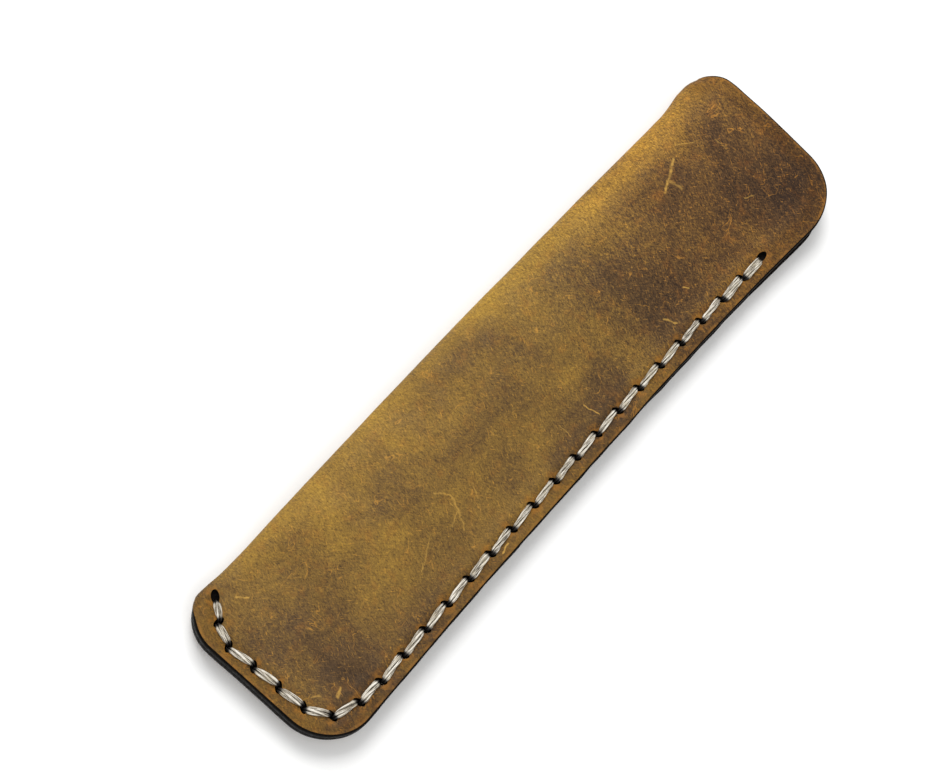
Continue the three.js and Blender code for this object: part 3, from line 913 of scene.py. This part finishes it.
def scratch_marks(look):
    """How strongly each point is scratched, from the distance to each short stroke."""
    place = look.place()
    waver = look.node("TexNoise")
    look.set(waver.inputs["Vector"], place)
    look.set(waver.inputs["Scale"], WAVER_SCALE)
    offset = look.vector("SUBTRACT", waver.outputs["Color"], (0.5, 0.5, 0.5))
    moved = look.vector("ADD", place, look.vector("SCALE", offset, None, None, SCRATCH_WAVER))
    flat = look.vector("MULTIPLY", moved, (1, 1, 0))
    total = 0.0
    for ax, ay, bx, by, half_width, strength in SCRATCHES:
        run = Vector((bx - ax, by - ay, 0))
        start = look.vector("SUBTRACT", flat, (ax, ay, 0))
        along = look.vector("DOT_PRODUCT", start, tuple(run / run.length_squared), output="Value")
        t = look.math("ADD", along, 0.0, clamp=True)
        nearest = look.vector("SCALE", tuple(run), None, None, t)
        away = look.vector("DISTANCE", start, nearest, output="Value")
        line = look.between(away, SCRATCH_CORE * half_width, SCRATCH_FADE * half_width, strength, 0.0)
        total = look.math("MAXIMUM", line, total)
    broken = look.between(look.noise(place, 0.9, 3), 0.3, 0.6, 0.35, 1.0)
    return look.times(look.times(total, broken), look.mark("front"))


LEATHER_TONES = [
    (0.0, linear(48, 35, 25)), (0.25, linear(86, 64, 38)), (0.5, linear(130, 100, 45)),
    (0.75, linear(163, 127, 50)), (1.0, linear(206, 161, 66)),
]
RUST, PORE, CREASE = linear(146, 96, 38), linear(54, 40, 28), linear(56, 40, 27)
HAIR, VEIN, SCRATCH = linear(190, 136, 54), linear(186, 134, 56), linear(190, 148, 70)
RUBBED_EDGE, HOLE_HALO = linear(152, 104, 46), linear(160, 106, 38)
MOUTH_TINT, MARGIN_TINT = (1.03, 0.93, 0.86, 1), (0.72, 0.64, 0.46, 1)  # multiply the colour


def hair_strokes(look):
    """Three layers of short strokes: two pale ones that cross, and a dark one along the sleeve."""
    return [look.noise(look.place((width, 0.2, 1.0), turn), 1.0, 2.0, 0.5, 0.5)
            for width, turn in ((1.3, 0.55), (1.1, -0.75), (0.9, 0.05))]


def clouded_colour(look, place, grit):
    """Dark and amber clouds, paler along the fold (pull-up colour and painted highlight), with rust-brown
    flecks.
    """
    clouds = look.noise(place, 24.0, 4.0, 0.6, 0.8)
    mottle = look.noise(place, 6.0, 4.0, 0.62, 0.4)
    tone = look.weighted([(clouds, 0.8), (mottle, 0.2), (look.mark("tone"), 0.36), (grit, 1.0)])
    # Paler near the fold: partly the pull-up leather lightening where it bends, partly painted highlight
    # on the fold's rounded side facing the window.
    fold = look.between(look.math("ADD", look.mark("fold_mm"), look.times(clouds, 3.0)),
                        2.0, 8.0, 0.2, 0.0)
    tone = look.math("ADD", tone, fold)
    level = look.node("MapRange", tone, 0.1, 1.14, 0.0, 1.0).outputs[0]
    rust = look.between(look.noise(place, 3.2, 4.0, 0.7), 0.5, 0.75, 0.0, 0.34)
    return look.mix(rust, look.ramp(level, LEATHER_TONES), RUST)


def winding_veins(look, place):
    """Thin pale lines that wind over the scuffed parts."""
    winding = look.math("ABSOLUTE", look.math("SUBTRACT", look.noise(place, 8.0, 3.0, 0.55, 0.5), 0.5))
    scuffed = look.between(look.noise(place, 4.5, 2.0), 0.5, 0.6)
    return look.times(look.between(winding, 0.001, 0.007, 0.5, 0.0), scuffed)


def worn(look, place, colour, scratch):
    """The colour with a darker margin, the scratches, a rubbed edge and a halo round each hole."""
    margin = look.between(look.mark("edge_mm"), 2.4, 5.2, 0.75, 0.0)
    colour = look.mix(margin, colour, MARGIN_TINT, "MULTIPLY")
    colour = look.mix(scratch, colour, SCRATCH)
    rubbed = look.times(look.between(look.mark("edge_mm"), 0.3, 0.7, 0.4, 0.0),
                        look.between(look.noise(place, 3.0, 3.0), 0.4, 0.6))
    colour = look.mix(rubbed, colour, RUBBED_EDGE)
    haloed = look.times(look.between(look.mark("hole_mm"), 1.2, 2.6, 0.5, 0.0),
                        look.between(look.noise(place, 1.5, 3.0), 0.42, 0.6))
    return look.mix(haloed, colour, HOLE_HALO)


def grain_leather():
    """Oiled pull-up leather: dark and amber clouds, fine pores, fibres, scratches and rubbed edges."""
    look = Look("distressed_oiled_leather", 0.6, 0.15)
    place = look.place()
    fine = look.noise(place, 0.55, 4.0, 0.75)
    specks = look.noise(place, 0.28, 2.0, 0.6)
    pale, crossing, dark = hair_strokes(look)
    # The half towards the mouth is handled more: its grain shows harder, and its brown is redder.
    along = look.node("SeparateXYZ", place).outputs["Y"]
    handled = look.between(along, -5.0, 45.0, 0.58, 1.0)
    grit = look.weighted([(fine, 0.42), (specks, 0.42), (pale, 0.36), (crossing, 0.36), (dark, -0.46)])
    grit = look.times(look.math("SUBTRACT", grit, 0.55), handled)
    colour = clouded_colour(look, place, grit)
    pores = look.between(look.noise(place, 0.36, 3.0, 0.6), 0.33, 0.45, 0.6, 0.0)
    colour = look.mix(look.times(pores, handled), colour, PORE)
    hairs = look.math("MAXIMUM", look.between(pale, 0.64, 0.76), look.between(crossing, 0.64, 0.76))
    colour = look.mix(look.times(hairs, 0.5), colour, HAIR)
    colour = look.mix(winding_veins(look, place), colour, VEIN)
    creases = look.between(dark, 0.62, 0.74, 0.0, 0.5)
    colour = look.mix(creases, colour, CREASE)
    colour = look.mix(1.0, colour, look.math("MULTIPLY_ADD", grit, 1.4, 1.0), "MULTIPLY")
    colour = look.mix(look.between(along, 15.0, 60.0), colour, MOUTH_TINT, "MULTIPLY")
    scratch = scratch_marks(look)
    colour = worn(look, place, colour, scratch)
    roughness = look.between(look.noise(place, 6.0, 3.0), 0.3, 0.7, 0.52, 0.72)
    height = look.weighted([(fine, 1.0), (pores, -0.55), (hairs, 0.2), (creases, -0.4), (scratch, -0.4)])
    return look.finish(colour, roughness, height, 0.07)


def flesh_leather():
    """The napped inside of the leather."""
    look = Look("suede_flesh_side", 0.95, 0.15)
    nap = look.noise(look.place((1.0, 1.6, 1.0)), 0.5, 4.0, 0.7)
    colour = look.ramp(nap, [(0.3, linear(84, 60, 40)), (0.7, linear(150, 116, 78))])
    # Dye and paint from the cut edge run a little way in.
    stained = look.between(look.mark("edge_mm"), 0.5, 1.7, 0.9, 0.0)
    colour = look.mix(stained, colour, linear(20, 17, 13))
    return look.finish(colour, None, nap, 0.12)


def painted_edge():
    """Cut edge, dyed and painted black, slightly glossy and not quite even."""
    look = Look("black_edge_paint", 0.5, 0.04)
    lumps = look.noise(look.place((1.0, 1.0, 2.5)), 0.8, 3.0)
    colour = look.ramp(lumps, [(0.35, linear(6, 5, 5)), (0.8, linear(22, 18, 13))])
    return look.finish(colour, look.between(lumps, 0.3, 0.7, 0.38, 0.6), lumps, 0.1)


def dyed_and_shaded_slit():
    # Near black inside the holes: dye on the cut walls, and painted shade for the dark of a narrow slit.
    look = Look("dyed_and_shaded_slit", 0.9, 0.1)
    blotch = look.noise(look.place(), 0.4)
    return look.finish(look.ramp(blotch, [(0.3, linear(8, 7, 6)), (0.8, linear(24, 19, 15))]))


def waxed_thread():
    """Pale waxed thread: fine filaments along the plies, grey in the grooves, and darker at the holes
    from dye and painted shade.
    """
    look = Look("waxed_thread", 0.5, 0.45)
    grain = look.mark("grain", "Vector")
    streaks = look.noise(look.node("Mapping", grain, (0, 0, 0), (0, 0, 0), (1.5, 1.5, 0.4)).outputs[0],
                         1.0, 4.0, 0.65)
    smudge = look.noise(look.place(), 1.6, 3.0)
    colour = look.ramp(streaks, [(0.35, linear(38, 32, 26)), (0.43, linear(112, 102, 86)),
                                 (0.50, linear(190, 181, 163)), (0.62, linear(242, 237, 226))])
    colour = look.mix(look.between(smudge, 0.5, 0.75, 0.0, 0.5), colour, linear(186, 172, 140))
    # Darker towards each hole: black dye picked up there, and painted shade where the thread dives into
    # the slit.
    dye_and_shade = look.between(look.math("ADD", look.mark("dye_and_shade"), look.times(smudge, 0.25)), 0.3, 0.95)
    colour = look.mix(dye_and_shade, colour, linear(20, 17, 15))
    return look.finish(colour, look.between(streaks, 0.3, 0.7, 0.6, 0.42), streaks, 0.10)


def melted_thread():
    look = Look("melted_thread_end", 0.35, 0.5)
    blotch = look.noise(look.place(), 0.5, 2.0)
    return look.finish(look.ramp(blotch, [(0.35, linear(96, 84, 66)), (0.7, linear(158, 146, 122))]))


def floor_surface():
    look = Look("pale_floor", 0.8, 0.2)
    soft = look.noise(look.place(), 60.0, 2.0)
    return look.finish(look.ramp(soft, [(0.0, linear(244, 244, 243)), (1.0, linear(250, 250, 249))]))


# ---- Floor, light and camera ----
FLOOR_REACH = 900
AMBIENT = 0.66
# Name, place, size and watts.
LAMPS = [("window_light", (-380, 200, 640), 420, 4.2), ("fill_light", (380, -300, 640), 500, 1.0)]


def studio():
    """A pale floor, soft light all round, a broad window and a weaker fill."""
    corners = [(x * FLOOR_REACH, y * FLOOR_REACH, 0) for x, y in ((-1, -1), (1, -1), (1, 1), (-1, 1))]
    floor = new_mesh("floor", corners, [[0, 1, 2, 3]], [floor_surface()])
    world = bpy.data.worlds.new("soft_white")
    bpy.context.scene.world = world
    world.use_nodes = True
    background = world.node_tree.nodes["Background"]
    background.inputs["Color"].default_value = (1, 1, 1, 1)
    background.inputs["Strength"].default_value = AMBIENT
    for name, place, size, watts in LAMPS:
        lamp = bpy.data.lights.new(name, "AREA")
        lamp.size = size * MM
        lamp.energy = watts
        holder = added(name, lamp)
        holder.location = Vector(place) * MM
        holder.rotation_euler = (-holder.location).to_track_quat("-Z", "Y").to_euler()
    bpy.context.scene.view_settings.view_transform = "Standard"


CAMERA_PLACE = (5.06, -190.56, 415.3)
CAMERA_TILT = math.radians(24.146)  # away from straight down
CAMERA_HEADING = math.radians(94.47)  # the way it leans, from +X towards +Y
CAMERA_ROLL = math.radians(38.494)
CAMERA_LENS, SENSOR_WIDTH = 87.43, 36
CLIP_START = 0.01  # metres


def photograph_camera():
    lens = bpy.data.cameras.new("camera")
    lens.lens = CAMERA_LENS
    lens.sensor_width = SENSOR_WIDTH
    lens.clip_start = CLIP_START
    camera = added("camera", lens)
    lean = Matrix.Rotation(CAMERA_HEADING - math.pi / 2, 3, "Z") @ Matrix.Rotation(CAMERA_TILT, 3, "X")
    turn = lean @ Matrix.Rotation(CAMERA_ROLL, 3, "Z")
    camera.matrix_world = Matrix.Translation(Vector(CAMERA_PLACE) * MM) @ turn.to_4x4()
    bpy.context.scene.camera = camera


def build():
    grain, flesh, edge, slit = grain_leather(), flesh_leather(), painted_edge(), dyed_and_shaded_slit()
    sleeve, outline = leather_mesh([grain, flesh, edge])
    cut_slits(sleeve, slit)
    set_marks(sleeve.data, outline)
    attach(sleeve, "root")
    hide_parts("folded_leather_blank")
    thread = thread_mesh([waxed_thread(), melted_thread()])
    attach(thread, "root")
    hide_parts("saddle_stitch_thread")


build()
studio()
photograph_camera()
